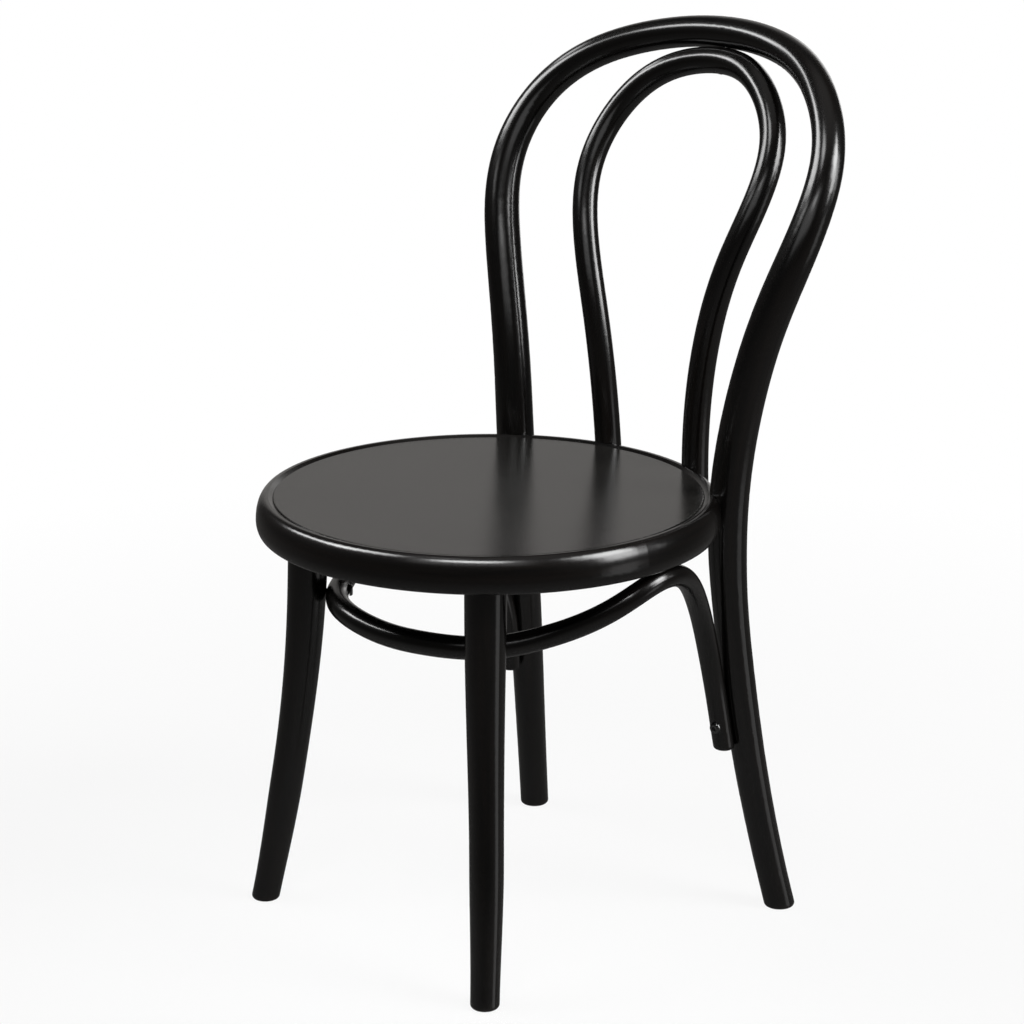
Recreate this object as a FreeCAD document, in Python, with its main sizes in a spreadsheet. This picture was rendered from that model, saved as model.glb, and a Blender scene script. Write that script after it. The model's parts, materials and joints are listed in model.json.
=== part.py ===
import FreeCAD, Part
import Sketcher
import math
import os

Vec = FreeCAD.Vector
UP = Vec(0, 0, 1)
doc = FreeCAD.newDocument("BentwoodChair")

# Driving dimensions in millimetres and degrees. x is to the side, y to the back, z up,
# all measured from the floor point under the middle of the seat.
SIZES = {
    "seat_height": 450,
    "seat_radius": 232,
    "ring_thickness": 36,
    "ring_width": 70,
    "roll_depth": 10.5,
    "roll_height": 24,
    "lip_depth": 6,
    "bead_width": 4.5,
    "bead_depth": 2.6,
    "ring_lip": 17.5,
    "panel_thickness": 9,
    "panel_recess": 1.5,
    "panel_edge_round": 1.4,
    "fit_gap": 0.25,
    "rod_gap": 0.4,
    "hole_clearance": 0.2,
    "foot_round": 4,
    "hoop_foot_radius": 15.5,
    "hoop_knee_radius": 17.7,
    "hoop_seat_radius": 20,
    "hoop_rib_radius": 18.95,
    "hoop_shoulder_radius": 16,
    "hoop_crown_radius": 16.2,
    "bow_foot_radius": 13.85,
    "bow_side_radius": 13.2,
    "bow_crown_radius": 13.8,
    "bow_foot_rise": 3,
    "crown_tilt": 26,
    "leg_top_radius": 20.4,
    "leg_shin_radius": 16.8,
    "leg_foot_radius": 14.3,
    "tenon_radius": 10,
    "tenon_length": 20,
    "brace_end_radius": 10.8,
    "brace_apex_radius": 10.9,
    "brace_front_radius": 11.8,
    "brace_end_turn": -8,
    "brace_leg_turn": 37,
    "brace_end_round": 4,
    "lag_drop": 23,
    "lag_inset": 36,
    "hoop_lag_radius": 4,
    "hoop_lag_length": 52,
    "hoop_lag_head": 7.5,
    "hoop_lag_head_height": 5.3,
    "hoop_washer_radius": 8.2,
    "bow_lag_radius": 3,
    "bow_lag_length": 47,
    "bow_lag_head": 5.8,
    "bow_lag_head_height": 4,
    "bow_washer_radius": 6.3,
    "washer_thickness": 1.6,
    "button_head_radius": 6,
    "button_head_height": 3.4,
    "button_round": 2.4,
    "button_socket": 2.6,
    "button_socket_depth": 1.9,
    "spot_face_depth": 0.7,
    "brace_screw_radius": 2.5,
    "brace_end_screw_rise": 29.5,
    "brace_end_screw_turn": 15,
    "brace_end_screw_length": 40,
    "brace_leg_screw_length": 40,
    "brace_seat_screw_length": 38,
    "seat_screw_sink": 4.2,
    "crown_screw_radius": 2.2,
    "crown_screw_head": 4.4,
    "crown_screw_length": 46,
    "crown_screw_sink": 0.3,
    "screw_tip_share": 0.2,
}

# Points that the bent rods' centre lines pass through on the chair's left-hand side (x > 0):
# name of the place, x to the side, y to the back, z up. None is worked out further below.
# They are laid out round a seat of this radius (x and y) and height (z), and go along with it.
LAID_OUT_SEAT = Vec(232, 232, 450)
HOOP_PLACES = [
    ("foot", 192, 233, 0),
    ("calf", 173, 208, 140),
    ("knee", 161, 188, 290),
    ("seat", 160.5, 177, 432),
    ("waist", 174, 182, 540),
    ("rib", 200, 194, 640),
    ("chest", 223, 220, 730),
    ("arm", 213, 251, 790),
    ("shoulder", 180, 277, 830),
    ("temple", 100, 316, 865),
    ("crown", 0, 331, 876),
]
BOW_PLACES = [
    ("heel", 65, 225, None),
    ("foot", 69, 221, 500),
    ("waist", 84, 220, 590),
    ("rib", 107, 227, 670),
    ("chest", 123, 249, 735),
    ("arm", 115, 275, 785),
    ("shoulder", 70, 301, 833),
    ("crown", 0, None, None),
]
LEG_PLACES = [
    ("foot", 176, -158, 0),
    ("shin", 157, -139, 140),
    ("knee", 142, -127, 280),
    ("top", 137, -122, None),
]
BRACE_PLACES = [
    ("end", None, None, 180.5),
    ("grip", None, None, 228),
    ("rise", 163, 150, 290),
    ("bend", 185, 109, 360),
    ("apex", 215, 35, None),
    ("side", 205, -12, 383),
    ("fall", 149, -60, 347),
    ("contact", None, None, 340),
    ("bow", 60, -133, 335),
    ("front", 0, -138, 332),
]

sheet = doc.addObject("Spreadsheet::Sheet", "Sizes")


def store(alias, number):
    """Put one driving dimension into the next free row of the sheet."""
    store.row += 1
    sheet.set("A%d" % store.row, alias)
    sheet.set("B%d" % store.row, str(number))
    sheet.setAlias("B%d" % store.row, alias)


store.row = 0
for size_name, size in SIZES.items():
    store(size_name, size)
for rod_name, places in (
    ("hoop", HOOP_PLACES),
    ("bow", BOW_PLACES),
    ("leg", LEG_PLACES),
    ("brace", BRACE_PLACES),
):
    for place in places:
        for letter, number in zip("xyz", place[1:]):
            if number is not None:
                store("%s_%s_%s" % (rod_name, place[0], letter), number)
doc.recompute()


def size_of(alias):
    return float(sheet.get(alias))


def across_seat(rod_name, place_name, letter):
    """Level coordinate of a rod's place: it grows and shrinks with the seat's radius."""
    laid_out = size_of("%s_%s_%s" % (rod_name, place_name, letter))
    return laid_out * size_of("seat_radius") / LAID_OUT_SEAT.x


def height_of(rod_name, place_name):
    """Height of a rod's place: below the seat it keeps its share, above it keeps its distance."""
    laid_out = size_of("%s_%s_z" % (rod_name, place_name))
    if laid_out < LAID_OUT_SEAT.z:
        return laid_out * size_of("seat_height") / LAID_OUT_SEAT.z
    return laid_out + size_of("seat_height") - LAID_OUT_SEAT.z


def placed(rod_name, place_name, height):
    """Centre-line point with its height worked out by the caller."""
    x = across_seat(rod_name, place_name, "x")
    y = across_seat(rod_name, place_name, "y")
    return Vec(x, y, height)


def place_of(rod_name, place_name):
    """Centre-line point of a rod that the sheet gives in full."""
    return placed(rod_name, place_name, height_of(rod_name, place_name))


def mirrored(point):
    """The same point or direction on the chair's other side."""
    return Vec(-point.x, point.y, point.z)


def polar(degrees):
    """Level direction turned from straight back (+y) toward the side (+x)."""
    angle = math.radians(degrees)
    return Vec(math.sin(angle), math.cos(angle), 0)


fit_gap = size_of("fit_gap")
rod_gap = size_of("rod_gap")
hole_clearance = size_of("hole_clearance")
ring_top = size_of("seat_height")
ring_bottom = ring_top - size_of("ring_thickness")
ring_inner_radius = size_of("seat_radius") - size_of("ring_width")
panel_radius = size_of("seat_radius") - size_of("ring_lip")
panel_top = ring_top - size_of("panel_recess")
panel_bottom = panel_top - size_of("panel_thickness")


# Helpers for placed primitives

def aimed(point, direction):
    """Placement at a point with its own z axis along a direction."""
    return FreeCAD.Placement(point, FreeCAD.Rotation(UP, direction))


def cylinder(name, point, direction, radius, height):
    """Cylinder from a point along a direction; radius and height are sheet expressions."""
    body = doc.addObject("Part::Cylinder", name)
    body.setExpression("Radius", radius)
    body.setExpression("Height", height)
    body.Placement = aimed(point, direction)
    return body


def cone(name, point, direction, start_radius, end_radius, height):
    body = doc.addObject("Part::Cone", name)
    body.setExpression("Radius1", start_radius)
    body.setExpression("Radius2", end_radius)
    body.setExpression("Height", height)
    body.Placement = aimed(point, direction)
    return body


def hexagon(name, point, direction, corner_radius, height):
    body = doc.addObject("Part::Prism", name)
    body.Polygon = 6
    body.setExpression("Circumradius", corner_radius)
    body.setExpression("Height", height)
    body.Placement = aimed(point, direction)
    return body


def slab(name, bottom, height):
    """Level block, wider than the chair, for cutting rods off along a plane."""
    reach = 2 * size_of("seat_radius")
    block = doc.addObject("Part::Box", name)
    block.Length = 2 * reach
    block.Width = 2 * reach
    block.Height = height
    block.Placement = FreeCAD.Placement(Vec(-reach, -reach, bottom), FreeCAD.Rotation())
    return block


def fused(name, parts):
    joined = doc.addObject("Part::MultiFuse", name)
    joined.Shapes = parts
    return joined


def cut(name, base, tools):
    """Base less every tool."""
    tool = tools[0] if len(tools) == 1 else fused(name + "_tools", tools)
    rest = doc.addObject("Part::Cut", name)
    rest.Base = base
    rest.Tool = tool
    return rest


def rounded(name, base, radius, wanted):
    """Fillet on the edges for which wanted(edge) holds."""
    doc.recompute()
    rows = [
        (number + 1, radius, radius)
        for number, edge in enumerate(base.Shape.Edges)
        if wanted(edge)
    ]
    if not rows:
        raise ValueError("no edge to round on " + name)
    fillet = doc.addObject("Part::Fillet", name)
    fillet.Base = base
    fillet.Edges = rows
    return fillet


def group(name, solids):
    """Several separate solids kept as one sub-part."""
    compound = doc.addObject("Part::Compound", name)
    compound.Links = solids
    return compound


# Bent rods: a circle carried along a smooth centre line, its radius changing from place to place

def smooth_curve(points):
    curve = Part.BSplineCurve()
    curve.interpolate(Points=points)
    return curve


def carried_on(points, length):
    """The point that continues the bend of the first three points by a length."""
    first = (points[0] - points[1]).normalize()
    second = (points[1] - points[2]).normalize()
    return points[0] + (first + (first - second) * 0.5).normalize() * length


def point_at_height(curve, height):
    """First point of a rising centre line that is at a height, found by halving."""
    low = curve.FirstParameter
    high = low
    step = (curve.LastParameter - low) / 400
    while curve.value(high).z < height:
        high += step
    low = high - step
    for _ in range(40):
        middle = (low + high) / 2
        if curve.value(middle).z < height:
            low = middle
        else:
            high = middle
    return curve.value(high), curve.tangent(high)[0]


def highest(curve):
    """Height of a centre line's highest point, found by steps."""
    first = curve.FirstParameter
    span = curve.LastParameter - first
    return max(curve.value(first + span * step / 400).z for step in range(401))


class BentRod:
    """Centre line through points, with named radii at some of them."""

    def __init__(self, name, points, radii, section_count, both_sides):
        self.name = name
        self.points = list(points)
        self.stops = list(radii)
        if both_sides:
            last = len(points) - 1
            self.points += [mirrored(point) for point in reversed(points[:-1])]
            self.stops += [(2 * last - at, cell) for at, cell in reversed(radii) if at != last]
        self.curve = smooth_curve(self.points)
        self.section_count = section_count

    def radius_terms(self, parameter):
        """The two radius cells on either side of a parameter, and the share of the second."""
        marks = [self.curve.parameter(self.points[at]) for at, _ in self.stops]
        if parameter <= marks[0]:
            return self.stops[0][1], self.stops[0][1], 0.0
        for index in range(len(marks) - 1):
            if parameter <= marks[index + 1]:
                share = (parameter - marks[index]) / (marks[index + 1] - marks[index])
                eased = share * share * (3 - 2 * share)
                return self.stops[index][1], self.stops[index + 1][1], eased
        return self.stops[-1][1], self.stops[-1][1], 0.0

    def radius_near(self, point):
        start, end, share = self.radius_terms(self.curve.parameter(point))
        return size_of(start) * (1 - share) + size_of(end) * share

    def solid(self):
        """Loft through circles square to the centre line, each radius bound to the sheet."""
        first = self.curve.FirstParameter
        span = self.curve.LastParameter - first
        across = Vec(1, 0, 0)
        circles = []
        for number in range(self.section_count + 1):
            parameter = first + span * number / self.section_count
            along = self.curve.tangent(parameter)[0]
            across = (across - along * across.dot(along)).normalize()
            circle = doc.addObject("Part::Circle", "%s_section_%d" % (self.name, number))
            start, end, share = self.radius_terms(parameter)
            circle.setExpression(
                "Radius",
                "Sizes.%s * %.4f + Sizes.%s * %.4f" % (start, 1 - share, end, share),
            )
            turn = FreeCAD.Rotation(across, along.cross(across), along, "ZXY")
            circle.Placement = FreeCAD.Placement(self.curve.value(parameter), turn)
            circles.append(circle)
        loft = doc.addObject("Part::Loft", self.name + "_rod")
        loft.Sections = circles
        loft.Solid = True
        return loft


def rod_points(rod_name, places):
    """The places of a rod that the sheet gives in full."""
    return [place_of(rod_name, place[0]) for place in places if None not in place]


# Extra rod length that is cut off level again
SPARE = 10

hoop_points = rod_points("hoop", HOOP_PLACES)
hoop_points = [carried_on(hoop_points, SPARE)] + hoop_points
hoop = BentRod(
    "hoop",
    hoop_points,
    [
        (1, "hoop_foot_radius"),
        (3, "hoop_knee_radius"),
        (4, "hoop_seat_radius"),
        (6, "hoop_rib_radius"),
        (9, "hoop_shoulder_radius"),
        (11, "hoop_crown_radius"),
    ],
    48,
    True,
)

# The inner bow's crown lies against the underside of the hoop's crown
crown_down = Vec(
    0,
    -math.sin(math.radians(size_of("crown_tilt"))),
    -math.cos(math.radians(size_of("crown_tilt"))),
)
crown_spacing = size_of("hoop_crown_radius") + size_of("bow_crown_radius") + fit_gap
bow_crown = place_of("hoop", "crown") + crown_down * crown_spacing
bow_foot_height = ring_bottom + size_of("bow_foot_rise")
bow_points = [placed("bow", "heel", bow_foot_height)] + rod_points("bow", BOW_PLACES)
bow_points = [carried_on(bow_points, SPARE)] + bow_points + [bow_crown]
bow = BentRod(
    "bow",
    bow_points,
    [(1, "bow_foot_radius"), (5, "bow_side_radius"), (8, "bow_crown_radius")],
    36,
    True,
)

leg_top = placed("leg", "top", ring_bottom)
leg_points = rod_points("leg", LEG_PLACES) + [leg_top]
leg_points = (
    [carried_on(leg_points, SPARE)]
    + leg_points
    + [carried_on(leg_points[::-1], SPARE)]
)
leg = BentRod(
    "leg",
    leg_points,
    [(1, "leg_foot_radius"), (2, "leg_shin_radius"), (4, "leg_top_radius")],
    16,
    False,
)


def beside(rod, height, direction, own_radius):
    """Centre of a rod that lies against another at a height, on the side of a direction."""
    axis_point, along = point_at_height(rod.curve, height)
    square = (direction - along * along.dot(direction)).normalize()
    return axis_point + square * (rod.radius_near(axis_point) + own_radius + rod_gap)


# The brace's ends lie along the front of the rear legs, its bow inside the front legs and its
# two high bends under the seat ring
brace_turn = size_of("brace_end_turn")
to_front = polar(180 - brace_turn)
brace_end_radius = size_of("brace_end_radius")
brace_end_height = height_of("brace", "end")
brace_grip_height = height_of("brace", "grip")
grip_heights = [
    brace_end_height - SPARE,
    (brace_end_height + brace_grip_height) / 2,
    brace_grip_height,
]
brace_grips = [beside(hoop, height, to_front, brace_end_radius) for height in grip_heights]
brace_apex = placed("brace", "apex", ring_bottom - fit_gap - size_of("brace_apex_radius"))
inward = polar(-size_of("brace_leg_turn"))
brace_contact = beside(leg, height_of("brace", "contact"), inward, size_of("brace_front_radius"))
brace_points = (
    brace_grips
    + [place_of("brace", "rise"), place_of("brace", "bend"), brace_apex]
    + [place_of("brace", "side"), place_of("brace", "fall"), brace_contact]
    + [place_of("brace", "bow"), place_of("brace", "front")]
)
# The bend peaks a little beside its apex, so the apex is lowered until the peak meets the ring
brace_apex.z -= highest(smooth_curve(brace_points)) - brace_apex.z
brace = BentRod(
    "brace",
    brace_points,
    [(0, "brace_end_radius"), (5, "brace_apex_radius"), (10, "brace_front_radius")],
    48,
    True,
)


# Seat ring: one turned section, with a rolled outer side, a bead and a rebate for the panel

def quarter_ellipse(centre, across, rise, start, end):
    """Arc between two points of an ellipse with level and upright half-axes, anticlockwise."""
    if across >= rise:
        ellipse = Part.Ellipse(centre + Vec(across, 0, 0), centre + Vec(0, rise, 0), centre)
    else:
        ellipse = Part.Ellipse(centre + Vec(0, rise, 0), centre - Vec(across, 0, 0), centre)
    first = ellipse.parameter(start)
    last = ellipse.parameter(end)
    if last < first:
        last += 2 * math.pi
    return Part.ArcOfEllipse(ellipse, first, last)


def ring_section(sketch, clearance, with_rebate):
    """Closed half section in the sketch's x (out) and y (up)."""
    outer = size_of("seat_radius") + clearance
    top = ring_top + clearance
    bottom = ring_bottom - clearance
    height = ring_top - size_of("roll_height")
    widest = Vec(outer, height, 0)
    upper = Vec(outer - size_of("roll_depth"), top, 0)
    lower = Vec(outer - size_of("lip_depth"), bottom, 0)
    if with_rebate:
        rebate = panel_radius + hole_clearance
        corners = [
            Vec(rebate + size_of("bead_width"), top, 0),
            Vec(rebate, top - size_of("bead_depth"), 0),
            Vec(rebate, panel_bottom, 0),
            Vec(ring_inner_radius, panel_bottom, 0),
            Vec(ring_inner_radius, bottom, 0),
        ]
    else:
        corners = [Vec(0, top, 0), Vec(0, bottom, 0)]
    path = [upper] + corners + [lower]
    for start, end in zip(path[:-1], path[1:]):
        sketch.addGeometry(Part.LineSegment(start, end), False)
    lip_centre = Vec(lower.x, height, 0)
    roll_centre = Vec(upper.x, height, 0)
    lip = quarter_ellipse(lip_centre, outer - lower.x, height - bottom, lower, widest)
    roll = quarter_ellipse(roll_centre, outer - upper.x, top - height, widest, upper)
    sketch.addGeometry(lip, False)
    sketch.addGeometry(roll, False)


def origin_plane(body, role):
    return next(item for item in body.Origin.OriginFeatures if item.Role == role)


def turned_body(name, clearance, with_rebate):
    """Body made by turning the ring's section about the seat's axis."""
    body = doc.addObject("PartDesign::Body", name)
    sketch = body.newObject("Sketcher::SketchObject", name + "_section")
    sketch.AttachmentSupport = [(origin_plane(body, "XZ_Plane"), "")]
    sketch.MapMode = "FlatFace"
    doc.recompute()
    ring_section(sketch, clearance, with_rebate)
    turn = body.newObject("PartDesign::Revolution", name + "_turned")
    turn.Profile = sketch
    turn.ReferenceAxis = (sketch, ["V_Axis"])
    turn.Angle = 360
    body.Tip = turn
    return body


ring_blank = turned_body("ring_blank", 0, True)
housing_tool = turned_body("housing_tool", fit_gap, False)


# Screws. Each is driven from its seat point along a direction; the head stands behind the seat.

def lag_screw(name, seat, direction, kind):
    """Hexagon-headed wood screw with a plain washer-side face and a tapered point."""
    shank = cylinder(
        name + "_shank",
        seat,
        direction,
        "Sizes.%s_lag_radius" % kind,
        "Sizes.%s_lag_length - 2 * Sizes.%s_lag_radius" % (kind, kind),
    )
    straight = size_of(kind + "_lag_length") - 2 * size_of(kind + "_lag_radius")
    point = cone(
        name + "_point",
        seat + direction * straight,
        direction,
        "Sizes.%s_lag_radius" % kind,
        "Sizes.%s_lag_radius * Sizes.screw_tip_share" % kind,
        "2 * Sizes.%s_lag_radius" % kind,
    )
    head = hexagon(
        name + "_head",
        seat - direction * size_of(kind + "_lag_head_height"),
        direction,
        "Sizes.%s_lag_head" % kind,
        "Sizes.%s_lag_head_height" % kind,
    )
    return fused(name, [shank, point, head])


def washer(name, seat, direction, kind):
    """Flat ring between a lag screw's head and the floor of its counterbore."""
    plate = cylinder(
        name + "_plate", seat, direction, "Sizes.%s_washer_radius" % kind, "Sizes.washer_thickness"
    )
    bore = cylinder(
        name + "_bore",
        seat - direction,
        direction,
        "Sizes.%s_lag_radius + Sizes.hole_clearance" % kind,
        "Sizes.washer_thickness + 2",
    )
    return cut(name, plate, [bore])


def button_screw(name, seat, direction, length_cell):
    """Round-headed screw with a hexagon socket."""
    straight = size_of(length_cell) - 2 * size_of("brace_screw_radius")
    shank = cylinder(
        name + "_shank",
        seat,
        direction,
        "Sizes.brace_screw_radius",
        "Sizes.%s - 2 * Sizes.brace_screw_radius" % length_cell,
    )
    point = cone(
        name + "_point",
        seat + direction * straight,
        direction,
        "Sizes.brace_screw_radius",
        "Sizes.brace_screw_radius * Sizes.screw_tip_share",
        "2 * Sizes.brace_screw_radius",
    )
    crown = seat - direction * size_of("button_head_height")
    blank = cylinder(
        name + "_blank", crown, direction, "Sizes.button_head_radius", "Sizes.button_head_height"
    )

    def is_rim(edge):
        return (edge.CenterOfMass - crown).Length < 0.01 and len(edge.Vertexes) == 1

    head = rounded(name + "_head", blank, size_of("button_round"), is_rim)
    socket = hexagon(
        name + "_socket",
        crown - direction,
        direction,
        "Sizes.button_socket",
        "Sizes.button_socket_depth + 1",
    )
    hollow = cut(name + "_hollow", head, [socket])
    return fused(name, [shank, point, hollow])


def drill(name, start, direction, radius_cell, length):
    """Round hole with the named clearance; start and length are worked out by the caller."""
    tool = doc.addObject("Part::Cylinder", name)
    tool.setExpression("Radius", "Sizes.%s + Sizes.hole_clearance" % radius_cell)
    tool.Height = length
    tool.Placement = aimed(start, direction)
    return tool


SIDES = (("left", Vec(1, 1, 1)), ("right", Vec(-1, 1, 1)))


def on_side(vector, side):
    return Vec(vector.x * side.x, vector.y, vector.z)


hoop_tools = [housing_tool]
bow_tools = [housing_tool]
ring_tools = []
brace_tools = []
leg_tools = {"left": [], "right": []}
screws = {
    "hoop_lag_screws": [],
    "hoop_washers": [],
    "inner_bow_lag_screws": [],
    "inner_bow_washers": [],
    "brace_end_screws": [],
    "brace_leg_screws": [],
    "brace_seat_screws": [],
}


def add_lag(kind, rod, rod_tools, screw_node, washer_node):
    """Lag screws from inside the ring, through it and into a rod that stands against it."""
    height = ring_top - size_of("lag_drop")
    axis_point, _ = point_at_height(rod.curve, height)
    outward = Vec(axis_point.x, axis_point.y, 0).normalize()
    floor_radius = size_of("seat_radius") - size_of("lag_inset")
    thickness = size_of("washer_thickness")
    bore_length = floor_radius - ring_inner_radius + SPARE
    for side_name, side in SIDES:
        direction = on_side(outward, side)
        axis_foot = Vec(0, 0, height)
        washer_seat = axis_foot + direction * (floor_radius - thickness)
        label = "%s_%s" % (kind, side_name)
        screws[screw_node].append(lag_screw(label + "_lag", washer_seat, direction, kind))
        screws[washer_node].append(washer(label + "_washer", washer_seat, direction, kind))
        counterbore = drill(
            label + "_counterbore",
            axis_foot + direction * (floor_radius - bore_length),
            direction,
            kind + "_washer_radius",
            bore_length,
        )
        reach = size_of(kind + "_lag_length") + 1
        through = drill(
            label + "_bore", washer_seat, direction, kind + "_lag_radius", reach
        )
        ring_tools.extend([counterbore, through])
        rod_tools.append(through)


add_lag("hoop", hoop, hoop_tools, "hoop_lag_screws", "hoop_washers")
add_lag("bow", bow, bow_tools, "inner_bow_lag_screws", "inner_bow_washers")


def add_button(label, centre, direction, back, length_cell, screw_node, other_tools):
    """Button screws, their heads seated behind the brace's axis, into the piece beyond it."""
    for side_name, side in SIDES:
        way = on_side(direction, side)
        seat = on_side(centre, side) - way * back
        name = "%s_%s" % (label, side_name)
        screws[screw_node].append(button_screw(name, seat, way, length_cell))
        hole = drill(name + "_bore", seat, way, "brace_screw_radius", size_of(length_cell) + 1)
        spot = drill(name + "_spot", seat - way * SPARE, way, "button_head_radius", SPARE)
        brace_tools.extend([hole, spot])
        other_tools[side_name].append(hole)


both_hoop = {"left": hoop_tools, "right": hoop_tools}
both_ring = {"left": ring_tools, "right": ring_tools}
spot_face_depth = size_of("spot_face_depth")
end_screw_height = brace_end_height + size_of("brace_end_screw_rise")
end_centre = beside(hoop, end_screw_height, to_front, brace_end_radius)
add_button(
    "brace_end",
    end_centre,
    polar(-size_of("brace_end_screw_turn")),
    brace_end_radius - spot_face_depth,
    "brace_end_screw_length",
    "brace_end_screws",
    both_hoop,
)
add_button(
    "brace_leg",
    brace_contact,
    -inward,
    size_of("brace_front_radius") - spot_face_depth,
    "brace_leg_screw_length",
    "brace_leg_screws",
    leg_tools,
)
add_button(
    "brace_seat",
    brace_apex,
    UP,
    size_of("brace_apex_radius") - size_of("seat_screw_sink"),
    "brace_seat_screw_length",
    "brace_seat_screws",
    both_ring,
)

# Countersunk screw through the inner bow's crown into the hoop's crown
crown_up = -crown_down
crown_seat = bow_crown - crown_up * (size_of("bow_crown_radius") - size_of("crown_screw_sink"))
crown_straight = size_of("crown_screw_length") - 2 * size_of("crown_screw_radius")
crown_shank = cylinder(
    "crown_shank",
    crown_seat,
    crown_up,
    "Sizes.crown_screw_radius",
    "Sizes.crown_screw_length - 2 * Sizes.crown_screw_radius",
)
crown_point = cone(
    "crown_point",
    crown_seat + crown_up * crown_straight,
    crown_up,
    "Sizes.crown_screw_radius",
    "Sizes.crown_screw_radius * Sizes.screw_tip_share",
    "2 * Sizes.crown_screw_radius",
)
crown_head = cone(
    "crown_head",
    crown_seat,
    crown_up,
    "Sizes.crown_screw_head",
    "Sizes.crown_screw_radius",
    "Sizes.crown_screw_head - Sizes.crown_screw_radius",
)
crown_screw = fused("crown_screw", [crown_shank, crown_point, crown_head])
crown_bore = drill(
    "crown_bore",
    crown_seat - crown_up * SPARE,
    crown_up,
    "crown_screw_radius",
    size_of("crown_screw_length") + SPARE + 1,
)
crown_sink = cone(
    "crown_sink",
    crown_seat,
    crown_up,
    "Sizes.crown_screw_head + Sizes.hole_clearance",
    "Sizes.crown_screw_radius + Sizes.hole_clearance",
    "Sizes.crown_screw_head - Sizes.crown_screw_radius",
)
crown_mouth = drill(
    "crown_mouth", crown_seat - crown_up * SPARE, crown_up, "crown_screw_head", SPARE
)
hoop_tools.append(crown_bore)
bow_tools.extend([crown_bore, crown_sink, crown_mouth])


# Rods cut to length, rounded and drilled

def lies_level(height):
    """Test for edges that lie in a level plane."""

    def test(edge):
        box = edge.BoundBox
        return abs(box.ZMin - height) < 0.01 and abs(box.ZMax - height) < 0.01

    return test


floor_slab = slab("floor_slab", -4 * SPARE, 4 * SPARE)
hoop_cut = cut("hoop_cut", hoop.solid(), [floor_slab])
hoop_feet = rounded("hoop_feet", hoop_cut, size_of("foot_round"), lies_level(0))
back_hoop = cut("back_hoop", hoop_feet, hoop_tools)

bow_slab = slab("bow_slab", bow_foot_height - 4 * SPARE, 4 * SPARE)
bow_cut = cut("bow_cut", bow.solid(), [bow_slab])
bow_feet = rounded("bow_feet", bow_cut, size_of("foot_round") / 2, lies_level(bow_foot_height))
inner_bow = cut("inner_bow", bow_feet, bow_tools)

shoulder = ring_bottom - fit_gap
top_slab = slab("top_slab", shoulder, 4 * SPARE)
leg_cut = cut("leg_cut", leg.solid(), [floor_slab, top_slab])
leg_foot = rounded("leg_foot", leg_cut, size_of("foot_round"), lies_level(0))
tenon_base = Vec(leg_top.x, leg_top.y, shoulder - 1)
tenon = cylinder("tenon", tenon_base, UP, "Sizes.tenon_radius", "Sizes.tenon_length + 1")
leg_blank = fused("leg_blank", [leg_foot, tenon])
leg_left = cut("front_leg_left", leg_blank, leg_tools["left"])
leg_twin = doc.addObject("Part::Mirroring", "leg_twin")
leg_twin.Source = leg_blank
leg_twin.Normal = Vec(1, 0, 0)
leg_right = cut("front_leg_right", leg_twin, leg_tools["right"])

for side_name, side in SIDES:
    mouth = on_side(Vec(leg_top.x, leg_top.y, ring_bottom - 1), side)
    depth = size_of("tenon_length") + 2
    ring_tools.append(drill("socket_" + side_name, mouth, UP, "tenon_radius", depth))
seat_ring = cut("seat_ring", ring_blank, ring_tools)

brace_slab = slab("brace_slab", brace_end_height - 4 * SPARE, 4 * SPARE)
brace_cut = cut("brace_cut", brace.solid(), [brace_slab])
brace_rod = rounded(
    "brace_ends", brace_cut, size_of("brace_end_round"), lies_level(brace_end_height)
)
leg_brace = cut("leg_brace", brace_rod, brace_tools)

# Seat panel: a flat round board with an eased upper edge
seat_panel = doc.addObject("PartDesign::Body", "seat_panel")
panel_sketch = seat_panel.newObject("Sketcher::SketchObject", "panel_outline")
panel_sketch.AttachmentSupport = [(origin_plane(seat_panel, "XY_Plane"), "")]
panel_sketch.MapMode = "FlatFace"
panel_sketch.AttachmentOffset = FreeCAD.Placement(Vec(0, 0, panel_bottom), FreeCAD.Rotation())
doc.recompute()
panel_sketch.addGeometry(Part.Circle(Vec(0, 0, 0), UP, panel_radius), False)
panel_sketch.addConstraint(Sketcher.Constraint("Coincident", 0, 3, -1, 1))
panel_rim = panel_sketch.addConstraint(Sketcher.Constraint("Radius", 0, panel_radius))
panel_sketch.setExpression(
    "Constraints[%d]" % panel_rim, "Sizes.seat_radius - Sizes.ring_lip"
)
panel_board = seat_panel.newObject("PartDesign::Pad", "panel_board")
panel_board.Profile = panel_sketch
panel_board.setExpression("Length", "Sizes.panel_thickness")
doc.recompute()
panel_edges = [
    "Edge%d" % (number + 1)
    for number, edge in enumerate(panel_board.Shape.Edges)
    if lies_level(panel_top)(edge)
]
panel_edge = seat_panel.newObject("PartDesign::Fillet", "panel_edge")
panel_edge.Base = (panel_board, panel_edges)
panel_edge.setExpression("Radius", "Sizes.panel_edge_round")
seat_panel.Tip = panel_edge

nodes = [
    back_hoop,
    inner_bow,
    seat_ring,
    seat_panel,
    leg_left,
    leg_right,
    leg_brace,
    crown_screw,
]
for node_name, solids in screws.items():
    nodes.append(group(node_name, solids))

# The chair's origin is on the floor under the middle of its box from front to back
front = -size_of("seat_radius")
back = place_of("hoop", "crown").y + size_of("hoop_crown_radius")
to_middle = Vec(0, -(front + back) / 2, 0)
for node in nodes:
    node.Label = node.Name
    node.Placement = FreeCAD.Placement(to_middle, FreeCAD.Rotation())
doc.recompute()

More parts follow.
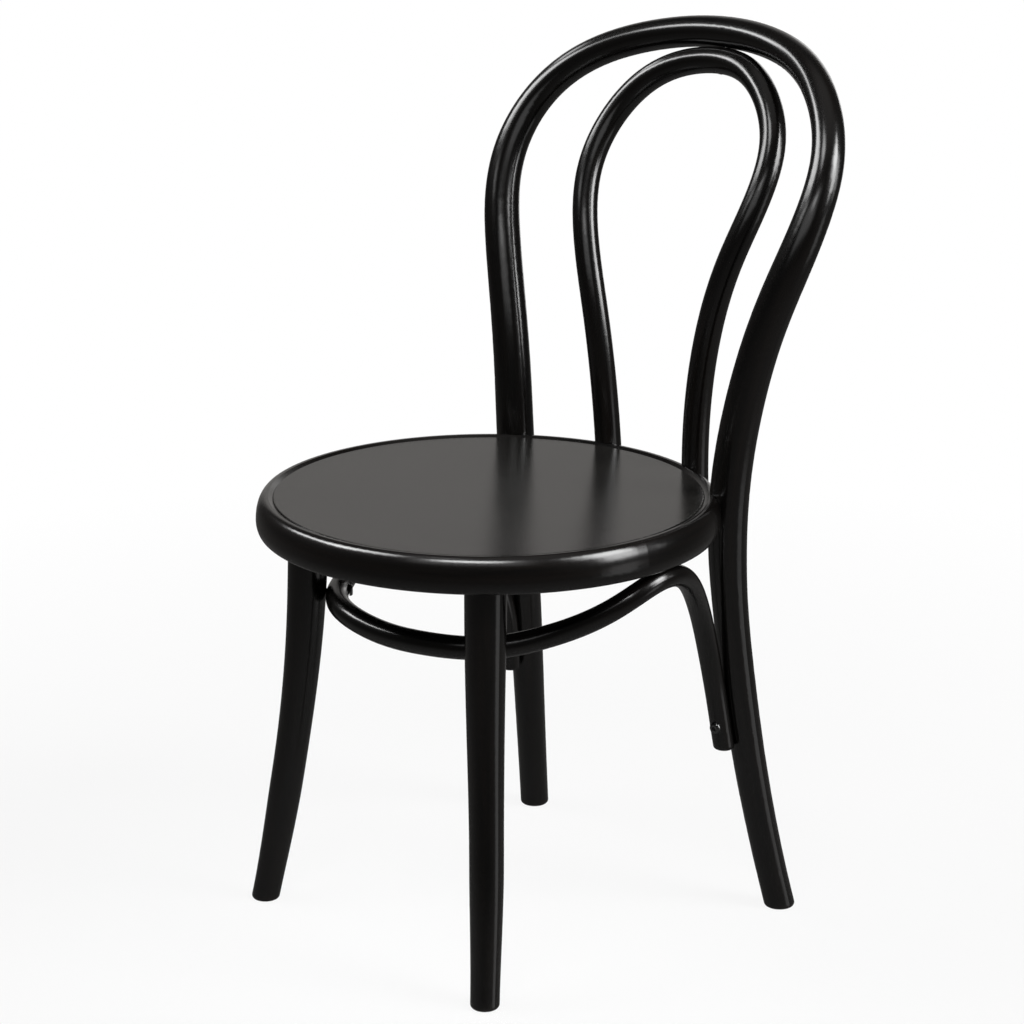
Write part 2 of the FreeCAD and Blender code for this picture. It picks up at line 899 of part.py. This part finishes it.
for item in doc.Objects:
    if "Invalid" in item.State or "Error" in item.State:
        raise RuntimeError("%s failed: %s" % (item.Name, item.getStatusString()))
os.makedirs("parts", exist_ok=True)
for node in nodes:
    shape = node.Shape
    if shape.isNull() or not shape.isValid():
        raise RuntimeError("%s has no valid shape" % node.Name)
    shape.exportStep("parts/%s.step" % node.Label)
    box = shape.BoundBox
    print(
        "%-22s solids %d faces %3d volume %9.0f  x %7.1f %7.1f  y %7.1f %7.1f  z %6.1f %6.1f"
        % (node.Label, len(shape.Solids), len(shape.Faces), shape.Volume,
           box.XMin, box.XMax, box.YMin, box.YMax, box.ZMin, box.ZMax)
    )
print("moved back by", to_middle.y)
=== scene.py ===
import json
import math
from typing import NamedTuple

import bmesh
import bpy
import numpy as np
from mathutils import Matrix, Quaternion, Vector


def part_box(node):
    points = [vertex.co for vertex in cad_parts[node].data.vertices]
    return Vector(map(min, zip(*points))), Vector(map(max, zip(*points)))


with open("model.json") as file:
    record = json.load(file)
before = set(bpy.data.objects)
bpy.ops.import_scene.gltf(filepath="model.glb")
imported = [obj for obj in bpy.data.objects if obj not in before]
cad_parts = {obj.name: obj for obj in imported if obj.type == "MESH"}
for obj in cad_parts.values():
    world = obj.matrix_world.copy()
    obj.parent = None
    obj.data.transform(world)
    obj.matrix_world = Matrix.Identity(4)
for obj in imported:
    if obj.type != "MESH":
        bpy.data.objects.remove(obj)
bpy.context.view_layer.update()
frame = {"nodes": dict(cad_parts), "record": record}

nodes = frame["nodes"]
scene = bpy.context.scene


# Camera, at the photograph's viewing angle

CAMERA_PLACE = (2.2432, -1.9905, 1.2952)
CAMERA_AZIMUTH = 48.80
CAMERA_DOWN = 16.32
CAMERA_LENS = 108.67
SENSOR_WIDTH = 36
CAMERA_REACH = 60


def add_camera():
    data = bpy.data.cameras.new("camera")
    data.sensor_width = SENSOR_WIDTH
    data.lens = CAMERA_LENS
    data.clip_end = CAMERA_REACH
    camera = bpy.data.objects.new("camera", data)
    camera.location = CAMERA_PLACE
    camera.rotation_euler = (math.radians(90 - CAMERA_DOWN), 0, math.radians(CAMERA_AZIMUTH))
    scene.collection.objects.link(camera)
    scene.camera = camera


# Wood grain. Each bent piece gets a vertex attribute that holds its surface unbent: two
# distances across the piece and one along it, in metres, so that the grain follows the bends.

seat_low, seat_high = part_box("seat_panel")
SEAT_MIDDLE = (Vector(seat_low) + Vector(seat_high)) / 2

# Points on the left half of the bent pieces' centre lines, in metres from the floor point
# under the middle of the seat: to the side, to the back, up
HOOP_LINE = [
    (0.192, 0.233, 0.0),
    (0.173, 0.208, 0.14),
    (0.161, 0.188, 0.29),
    (0.161, 0.177, 0.432),
    (0.174, 0.182, 0.54),
    (0.2, 0.194, 0.64),
    (0.223, 0.22, 0.73),
    (0.213, 0.251, 0.79),
    (0.18, 0.277, 0.83),
    (0.1, 0.316, 0.865),
    (0.0, 0.331, 0.876),
]
BOW_LINE = [
    (0.065, 0.225, 0.41),
    (0.069, 0.221, 0.5),
    (0.084, 0.22, 0.59),
    (0.107, 0.227, 0.67),
    (0.123, 0.249, 0.735),
    (0.115, 0.275, 0.785),
    (0.07, 0.301, 0.833),
    (0.0, 0.318, 0.849),
]
BRACE_LINE = [
    (0.165, 0.175, 0.18),
    (0.161, 0.168, 0.228),
    (0.163, 0.15, 0.29),
    (0.185, 0.109, 0.36),
    (0.215, 0.035, 0.403),
    (0.205, -0.012, 0.383),
    (0.149, -0.06, 0.347),
    (0.12, -0.099, 0.34),
    (0.06, -0.133, 0.335),
    (0.0, -0.138, 0.332),
]
LEG_LINE = [
    (0.176, -0.158, 0.0),
    (0.157, -0.139, 0.14),
    (0.142, -0.127, 0.28),
    (0.137, -0.122, 0.414),
]

# Steps of a centre line's curve between two of its points
LINE_STEPS = 24
# Vertices that are compared with a centre line at one time, to spare memory
VERTICES_AT_ONCE = 2000


def mirrored(points):
    return [(-x, y, z) for x, y, z in points]


def both_sides(points):
    """The left half's points, and then the right half's, which mirror them."""
    return points + mirrored(points[-2::-1])


def smooth_line(points):
    """Catmull-Rom curve through the points, as an array of closely spaced ones."""
    before_first = 2 * points[0] - points[1]
    after_last = 2 * points[-1] - points[-2]
    knots = np.concatenate([[before_first], points, [after_last]])
    share = np.linspace(0, 1, LINE_STEPS, endpoint=False)[:, None]
    spans = []
    for before, start, end, after in zip(knots, knots[1:], knots[2:], knots[3:]):
        bend = 2 * before - 5 * start + 4 * end - after
        twist = 3 * start - 3 * end + after - before
        spans.append(start + share * (end - before + share * (bend + share * twist)) / 2)
    return np.concatenate(spans + [points[-1:]])


def carried_frames(line):
    """Tangents of a line, and a side direction that is carried along it without twisting."""
    tangents = np.gradient(line, axis=0)
    tangents /= np.linalg.norm(tangents, axis=1)[:, None]
    to_the_back = (0.0, 1.0, 0.0)
    side = np.cross(tangents[0], to_the_back)
    sides = []
    for tangent in tangents:
        side = side - tangent * side.dot(tangent)
        side /= np.linalg.norm(side)
        sides.append(side)
    return tangents, np.array(sides)


def vertices_of(node_name):
    mesh = nodes[node_name].data
    places = np.empty(3 * len(mesh.vertices), dtype=np.float32)
    mesh.vertices.foreach_get("co", places)
    return mesh, places.reshape(-1, 3)


def store_grain(mesh, grain):
    layer = mesh.attributes.new("grain", "FLOAT_VECTOR", "POINT")
    layer.data.foreach_set("vector", grain.astype(np.float32).ravel())


def grain_along(node_name, points):
    """Unbend a rod's surface along its centre line."""
    line = smooth_line(np.array(points) + (0, SEAT_MIDDLE.y, 0))
    tangents, sides = carried_frames(line)
    others = np.cross(tangents, sides)
    steps = np.linalg.norm(np.diff(line, axis=0), axis=1)
    lengths = np.concatenate([[0], np.cumsum(steps)])
    mesh, places = vertices_of(node_name)
    near = np.concatenate([
        ((part[:, None] - line) ** 2).sum(axis=2).argmin(axis=1)
        for part in np.array_split(places, 1 + len(places) // VERTICES_AT_ONCE)
    ])
    offset = places - line[near]
    along = lengths[near] + (offset * tangents[near]).sum(axis=1)
    across = (offset * sides[near]).sum(axis=1)
    through = (offset * others[near]).sum(axis=1)
    store_grain(mesh, np.stack([across, through, along], axis=1))


def grain_round(node_name):
    """Unbend the seat ring, whose grain runs round the seat, from a joint at the back."""
    mesh, places = vertices_of(node_name)
    x = places[:, 0]
    y = SEAT_MIDDLE.y - places[:, 1]
    radius = np.hypot(x, y)
    along = np.arctan2(x, y) * radius.mean()
    store_grain(mesh, np.stack([radius, places[:, 2], along], axis=1))


def add_grain():
    grain_along("back_hoop", both_sides(HOOP_LINE))
    grain_along("inner_bow", both_sides(BOW_LINE))
    grain_along("leg_brace", both_sides(BRACE_LINE))
    grain_along("front_leg_left", LEG_LINE)
    grain_along("front_leg_right", mirrored(LEG_LINE))
    grain_round("seat_ring")


# Nodes of materials, lamps and the world

# Numbers of the Mix node's sockets for colours, whose names it uses more than once
MIX_FIRST = 6
MIX_SECOND = 7
MIX_RESULT = 2


class Graph:
    """Short names for building the nodes of a material, a lamp or the world."""

    def __init__(self, owner):
        owner.use_nodes = True
        self.tree = owner.node_tree

    def fill(self, node, inputs):
        """Set a node's inputs to plain values, or link them to other nodes' outputs."""
        for name, value in inputs.items():
            if isinstance(value, bpy.types.NodeSocket):
                self.tree.links.new(value, node.inputs[name])
            else:
                node.inputs[name].default_value = value

    def node(self, kind, inputs, **settings):
        made = self.tree.nodes.new("ShaderNode" + kind)
        for name, value in settings.items():
            setattr(made, name, value)
        self.fill(made, inputs)
        return made

    def calculate(self, operation, first, second):
        made = self.node("Math", {0: first, 1: second}, operation=operation)
        return made.outputs[0]

    def ramp(self, value, source, result, interpolation="LINEAR"):
        """Map a value from one range onto another, clamped."""
        inputs = {
            "Value": value,
            "From Min": source[0],
            "From Max": source[1],
            "To Min": result[0],
            "To Max": result[1],
        }
        made = self.node("MapRange", inputs, interpolation_type=interpolation)
        return made.outputs["Result"]

    def split(self, vector):
        return self.node("SeparateXYZ", {"Vector": vector}).outputs


class Surface(Graph):
    """The nodes of one material."""

    def __init__(self, name):
        self.material = bpy.data.materials.new(name)
        super().__init__(self.material)
        self.shader = self.tree.nodes["Principled BSDF"]
        self.output = self.tree.nodes["Material Output"]

    def grain(self):
        return self.node("Attribute", {}, attribute_name="grain").outputs["Vector"]

    def places(self):
        return self.node("TexCoord", {}).outputs["Object"]

    def height_above_floor(self):
        return self.split(self.places())["Z"]

    def stretched(self, vector, scale):
        return self.node("Mapping", {"Vector": vector, "Scale": scale}).outputs["Vector"]

    def noise(self, vector, scale, detail, roughness=0.5):
        inputs = {"Vector": vector, "Scale": scale, "Detail": detail, "Roughness": roughness}
        return self.node("TexNoise", inputs).outputs["Fac"]

    def mix(self, factor, first, second):
        """Blend of two colours by a factor."""
        inputs = {"Factor": factor, MIX_FIRST: first, MIX_SECOND: second}
        return self.node("Mix", inputs, data_type="RGBA").outputs[MIX_RESULT]

    def bump(self, height, depth, below=None):
        """Normal of a surface whose height, from 0 to 1, is this deep in metres."""
        inputs = {"Height": height, "Distance": depth}
        if below is not None:
            inputs["Normal"] = below
        return self.node("Bump", inputs).outputs["Normal"]


# Materials. Scales of noise are features per metre, and depths of bumps are in metres.

UNIT = (0.0, 1.0)
# Ranges of noise that are spread over a whole ramp: noise seldom leaves the first of them
MOST_NOISE = (0.3, 0.7)
CLOUD_NOISE = (0.35, 0.65)
STAIN_NOISE = (0.35, 0.7)
# How far noise is drawn out along the grain, as the scale in each of its directions
ALONG_FIBRES = (1, 1, 0.03)
ALONG_STREAKS = (1, 1, 0.05)
ALONG_BRUSHING = (1, 1, 0.1)

BLACK_STAIN = (0.0009, 0.0007, 0.0006, 1)
BROWN_STAIN = (0.0036, 0.0024, 0.0018, 1)
WORN_EDGE = (0.03, 0.024, 0.02, 1)
WOOD_SPECULAR = 0.04
WOOD_ROUGHNESS = (0.42, 0.52)
WORN_ROUGHNESS = 0.2
COAT_ROUGHNESS = 0.18
COAT_IOR = 1.65
PORE_DEPTH = 0.00004
FLOW_DEPTH = 0.00003
STREAK_DEPTH = 0.00002
# Height above the floor over which the feet's rubbed edges fade out
FOOT_RUB = (0.0015, 0.007)

BOARD_DARK = (0.0142, 0.0137, 0.0128, 1)
BOARD_PALE = (0.019, 0.0184, 0.0172, 1)
BOARD_ROUGHNESS = (0.14, 0.17)
BOARD_IOR = 1.5
SPECK_ROUGHNESS = (-0.02, 0.03)
SPECK_DEPTH = 0.0001

DARK_STEEL = (0.2, 0.2, 0.2, 1)
SUNK_STEEL = (0.02, 0.02, 0.021, 1)
ZINC_STEEL = (0.55, 0.56, 0.57, 1)
STEEL_DARKER = 0.6
BRUSHED_SMOOTHER = 0.06
BRUSHED_ROUGHER = 0.08
BRUSH_DEPTH = 0.00003


def lacquered_wood():
    """Black lacquer over steam-bent beech: closed grain below, a smooth clear coat above."""
    surface = Surface("black_lacquer")
    grain = surface.grain()
    fibres = surface.noise(
        surface.stretched(grain, ALONG_FIBRES), scale=900, detail=3, roughness=0.6
    )
    streaks = surface.noise(
        surface.stretched(grain, ALONG_STREAKS), scale=140, detail=4, roughness=0.55
    )
    clouds = surface.noise(grain, scale=14, detail=3)
    rub = surface.ramp(surface.height_above_floor(), FOOT_RUB, (1.0, 0.0))
    worn = surface.calculate("MULTIPLY", rub, surface.ramp(clouds, CLOUD_NOISE, UNIT))
    stain = surface.mix(surface.ramp(streaks, STAIN_NOISE, UNIT), BLACK_STAIN, BROWN_STAIN)
    dull = surface.ramp(streaks, MOST_NOISE, WOOD_ROUGHNESS)
    duller = surface.ramp(worn, UNIT, (0.0, WORN_ROUGHNESS))
    flow = surface.bump(surface.noise(grain, scale=110, detail=2), FLOW_DEPTH)
    surface.fill(surface.shader, {
        "Base Color": surface.mix(worn, stain, WORN_EDGE),
        "Roughness": surface.calculate("ADD", dull, duller),
        "Specular IOR Level": WOOD_SPECULAR,
        "Normal": surface.bump(fibres, PORE_DEPTH),
        "Coat Weight": 1.0,
        "Coat IOR": COAT_IOR,
        "Coat Roughness": COAT_ROUGHNESS,
        "Coat Normal": surface.bump(streaks, STREAK_DEPTH, flow),
    })
    return surface.material


def seat_board():
    """Black satin board with a fine, evenly pressed texture."""
    surface = Surface("satin_board")
    places = surface.places()
    clouds = surface.noise(places, scale=9, detail=4, roughness=0.55)
    specks = surface.noise(places, scale=900, detail=2, roughness=0.6)
    pale = surface.ramp(clouds, CLOUD_NOISE, UNIT)
    dull = surface.ramp(clouds, MOST_NOISE, BOARD_ROUGHNESS)
    duller = surface.ramp(specks, MOST_NOISE, SPECK_ROUGHNESS)
    surface.fill(surface.shader, {
        "Base Color": surface.mix(pale, BOARD_DARK, BOARD_PALE),
        "Roughness": surface.calculate("ADD", dull, duller),
        "IOR": BOARD_IOR,
        "Normal": surface.bump(specks, SPECK_DEPTH),
    })
    return surface.material


def steel(name, colour, roughness):
    """Turned screw steel with a fine brushed surface."""
    surface = Surface(name)
    places = surface.places()
    brushing = surface.noise(surface.stretched(places, ALONG_BRUSHING), scale=1800, detail=3)
    patches = surface.noise(places, scale=220, detail=3)
    darker = tuple(STEEL_DARKER * channel for channel in colour[:3]) + (1,)
    brushed = (roughness - BRUSHED_SMOOTHER, roughness + BRUSHED_ROUGHER)
    surface.fill(surface.shader, {
        "Base Color": surface.mix(patches, darker, colour),
        "Metallic": 1.0,
        "Roughness": surface.ramp(brushing, MOST_NOISE, brushed),
        "Normal": surface.bump(brushing, BRUSH_DEPTH),
    })
    return surface.material


def dress(node_name, material):
    mesh = nodes[node_name].data
    for index in range(len(mesh.materials)):
        mesh.materials[index] = material


def dress_all():
    finishes = {
        "frame_lacquer": lacquered_wood(),
        "seat_board": seat_board(),
        "dark_steel": steel("blackened_steel", DARK_STEEL, roughness=0.24),
        "zinc_steel": steel("zinc_plate", ZINC_STEEL, roughness=0.3),
    }
    for part in frame["record"]["subparts"]:
        dress(part["node"], finishes[part["material_slot"]])
    # The heads that are sunk into the brace get a near-black steel, much darker than the other
    # screws, so that they hardly show
    dress("brace_seat_screws", steel("sunk_steel", SUNK_STEEL, roughness=0.4))


# Lamps. Directions are in degrees: to the picture's right of the camera, and up.

CHAIR_MIDDLE = Vector((0, 0, 0.45))
RING_FRONT = Vector((0.16, -0.217, 0.446))
RING_LEFT = Vector((0.043, -0.279, 0.447))
HOOP_SHOULDER = Vector((0.165, 0.188, 0.79))
HOOP_TURN = Vector((0.135, 0.23, 0.85))
HOOP_STILE = Vector((-0.188, 0.141, 0.663))

# Share of a softbox's width over which it fades, from each edge
LAMP_FADE = 0.25


class Softbox(NamedTuple):
    """A lamp aimed at a target: its direction and distance from there, its width and height
    as angles seen from there, its radiance, its roll, and the angle that its grid leaves open."""

    target: Vector
    right: float
    up: float
    distance: float
    wide: float
    tall: float
    radiance: float
    roll: float = 0
    grid: float = 180


# The photograph's reflections on the ring, the hoop and the bow don't agree with one set of
# far lamps, so near ones with a grid light one part each
SOFTBOXES = {
    "right_tall": Softbox(CHAIR_MIDDLE, 68, 28, 8.0, wide=28, tall=47, radiance=7.6),
    "right_upper": Softbox(CHAIR_MIDDLE, 64, 38, 8.0, wide=38, tall=28, radiance=4.5),
    "left": Softbox(CHAIR_MIDDLE, -104, 35, 8.0, wide=46, tall=12.5, radiance=8.8, roll=24),
    "left_grid": Softbox(
        RING_LEFT, -85, 50, 0.95, wide=46, tall=22, radiance=11.0, roll=30, grid=60
    ),
    "seat_strip": Softbox(RING_FRONT, -12, 54, 0.95, wide=44, tall=19, radiance=13.5, grid=56),
    "hoop_strip": Softbox(HOOP_SHOULDER, -54, 57, 1.3, wide=28, tall=16, radiance=6.5, grid=50),
    "hoop_side": Softbox(
        HOOP_TURN, -130, 28, 1.2, wide=22, tall=10, radiance=6.5, roll=15, grid=50
    ),
    "stile_grid": Softbox(HOOP_STILE, 76, 12, 1.3, wide=14, tall=36, radiance=7.5, grid=40),
    "front_fill": Softbox(HOOP_STILE, -8, 23, 1.2, wide=54, tall=30, radiance=0.7),
    "rear_edge": Softbox(CHAIR_MIDDLE, 158, 6, 7.0, wide=22, tall=40, radiance=1.0),
    "floor_bounce": Softbox(CHAIR_MIDDLE, 67, -13, 7.0, wide=24, tall=26, radiance=0.6),
}


def toward(right, up):
    """Direction from the chair, turned from the camera's bearing."""
    bearing = math.radians(CAMERA_AZIMUTH + right)
    rise = math.radians(up)
    level = math.cos(rise)
    return Vector((level * math.sin(bearing), -level * math.cos(bearing), math.sin(rise)))


def fade_to_edges(data):
    """Make a lamp brightest in its middle, as a softbox's cloth is."""
    graph = Graph(data)
    place = graph.split(graph.node("NewGeometry", {}).outputs["Parametric"])
    across, upward = (
        graph.ramp(
            graph.calculate("PINGPONG", place[axis], 0.5), (0, LAMP_FADE), UNIT, "SMOOTHSTEP"
        )
        for axis in "XY"
    )
    level = graph.calculate("MULTIPLY", across, upward)
    graph.fill(graph.tree.nodes["Emission"], {"Strength": level})


def span(angle, distance):
    """Width that shows at this angle from this distance."""
    return 2 * distance * math.tan(math.radians(angle / 2))


def add_softbox(name, softbox):
    data = bpy.data.lights.new(name, "AREA")
    data.shape = "RECTANGLE"
    data.size = span(softbox.wide, softbox.distance)
    data.size_y = span(softbox.tall, softbox.distance)
    # Blender gives a gridded lamp the same power in less angle. This share of the power keeps
    # its radiance as it is written
    open_half = math.radians(softbox.grid / 2)
    grid_share = 1 - open_half / math.tan(open_half)
    data.spread = 2 * open_half
    data.energy = softbox.radiance * math.pi * data.size * data.size_y * grid_share
    fade_to_edges(data)
    lamp = bpy.data.objects.new(name, data)
    direction = toward(softbox.right, softbox.up)
    lamp.location = softbox.target + direction * softbox.distance
    facing = (-direction).to_track_quat("-Z", "Y")
    rolled = facing @ Quaternion((0, 0, 1), math.radians(softbox.roll))
    lamp.rotation_euler = rolled.to_euler()
    lamp.visible_camera = False
    scene.collection.objects.link(lamp)


# Stage

# The floor is a thin pale sheet that fades out round the chair: the white background shows
# through it, and the chair's shadow stays on it
FLOOR_RADIUS = 1.6
FLOOR_FADE_START = 0.6
FLOOR_SIDES = 96
FLOOR_COLOUR = (0.82, 0.82, 0.82, 1)
FLOOR_ROUGHNESS = 0.9
FLOOR_COVER = 0.11

# A dark studio round the chair, which the camera doesn't see and the lacquer reflects. Its
# brightness is given below, at eye level and overhead, and on the wall behind the chair, whose
# edge fades between two angles from its middle. Heights are shares of the radius.
ROOM_RADIUS = 12.0
ROOM_SUBDIVISIONS = 5
ROOM_COLOUR = (1, 0.97, 0.94, 1)
ROOM_BELOW = 0.072
ROOM_LEVEL = 0.035
ROOM_OVERHEAD = 0.2
BELOW_HEIGHT = -0.25
OVERHEAD_HEIGHTS = (0.8, 0.96)
BACK_WALL = 0.37
BACK_WALL_DIRECTION = (178, 11)
BACK_WALL_EDGE = (32, 13)

WHITE = (1, 1, 1, 1)


def floor_sheet():
    surface = Surface("floor_sheet")
    surface.fill(surface.shader, {
        "Base Color": FLOOR_COLOUR,
        "Roughness": FLOOR_ROUGHNESS,
        "Specular IOR Level": 0.0,
    })
    distance = surface.node("VectorMath", {0: surface.places()}, operation="LENGTH")
    cover = surface.ramp(
        distance.outputs["Value"], (FLOOR_FADE_START, FLOOR_RADIUS), (FLOOR_COVER, 0.0)
    )
    clear = surface.node("BsdfTransparent", {})
    sheet = surface.node("MixShader", {
        "Fac": cover,
        1: clear.outputs["BSDF"],
        2: surface.shader.outputs["BSDF"],
    })
    surface.fill(surface.output, {"Surface": sheet.outputs[0]})
    return surface.material


def room_paint():
    surface = Surface("room_paint")
    rise = surface.height_above_floor()
    below = surface.ramp(rise, (BELOW_HEIGHT * ROOM_RADIUS, 0.0), (ROOM_BELOW, ROOM_LEVEL))
    overhead = [share * ROOM_RADIUS for share in OVERHEAD_HEIGHTS]
    above = surface.ramp(rise, overhead, (0.0, ROOM_OVERHEAD))
    facing = surface.node(
        "VectorMath", {0: surface.places(), 1: toward(*BACK_WALL_DIRECTION)},
        operation="DOT_PRODUCT",
    )
    edge = [ROOM_RADIUS * math.cos(math.radians(angle)) for angle in BACK_WALL_EDGE]
    wall = surface.ramp(facing.outputs["Value"], edge, (0.0, BACK_WALL))
    room = surface.calculate("ADD", below, above)
    glow = surface.node("Emission", {
        "Color": ROOM_COLOUR,
        "Strength": surface.calculate("ADD", room, wall),
    })
    surface.fill(surface.output, {"Surface": glow.outputs[0]})
    surface.material.cycles.emission_sampling = "NONE"
    return surface.material


def stage_object(name, shape, material):
    """Make a bmesh into an object that isn't part of the chair."""
    mesh = bpy.data.meshes.new(name)
    shape.to_mesh(mesh)
    shape.free()
    mesh.materials.append(material)
    made = bpy.data.objects.new(name, mesh)
    scene.collection.objects.link(made)
    return made


def add_floor():
    shape = bmesh.new()
    bmesh.ops.create_circle(shape, cap_ends=True, segments=FLOOR_SIDES, radius=FLOOR_RADIUS)
    stage_object("floor", shape, floor_sheet())


def add_room():
    shape = bmesh.new()
    bmesh.ops.create_icosphere(shape, subdivisions=ROOM_SUBDIVISIONS, radius=ROOM_RADIUS)
    room = stage_object("studio_room", shape, room_paint())
    room.visible_camera = False
    room.visible_shadow = False


def add_world():
    """A background of plain white, for camera, glossy and transmission rays alone."""
    world = bpy.data.worlds.new("white_background")
    scene.world = world
    graph = Graph(world)
    seen = graph.node("LightPath", {}).outputs
    shown = graph.calculate("ADD", seen["Is Camera Ray"], seen["Is Glossy Ray"])
    shown = graph.calculate("ADD", shown, seen["Is Transmission Ray"])
    strength = graph.calculate("MINIMUM", shown, 1.0)
    graph.fill(graph.tree.nodes["Background"], {"Color": WHITE, "Strength": strength})


add_camera()
add_grain()
dress_all()
add_floor()
add_room()
add_world()
for softbox_name, softbox in SOFTBOXES.items():
    add_softbox(softbox_name, softbox)
scene.view_settings.view_transform = "Standard"
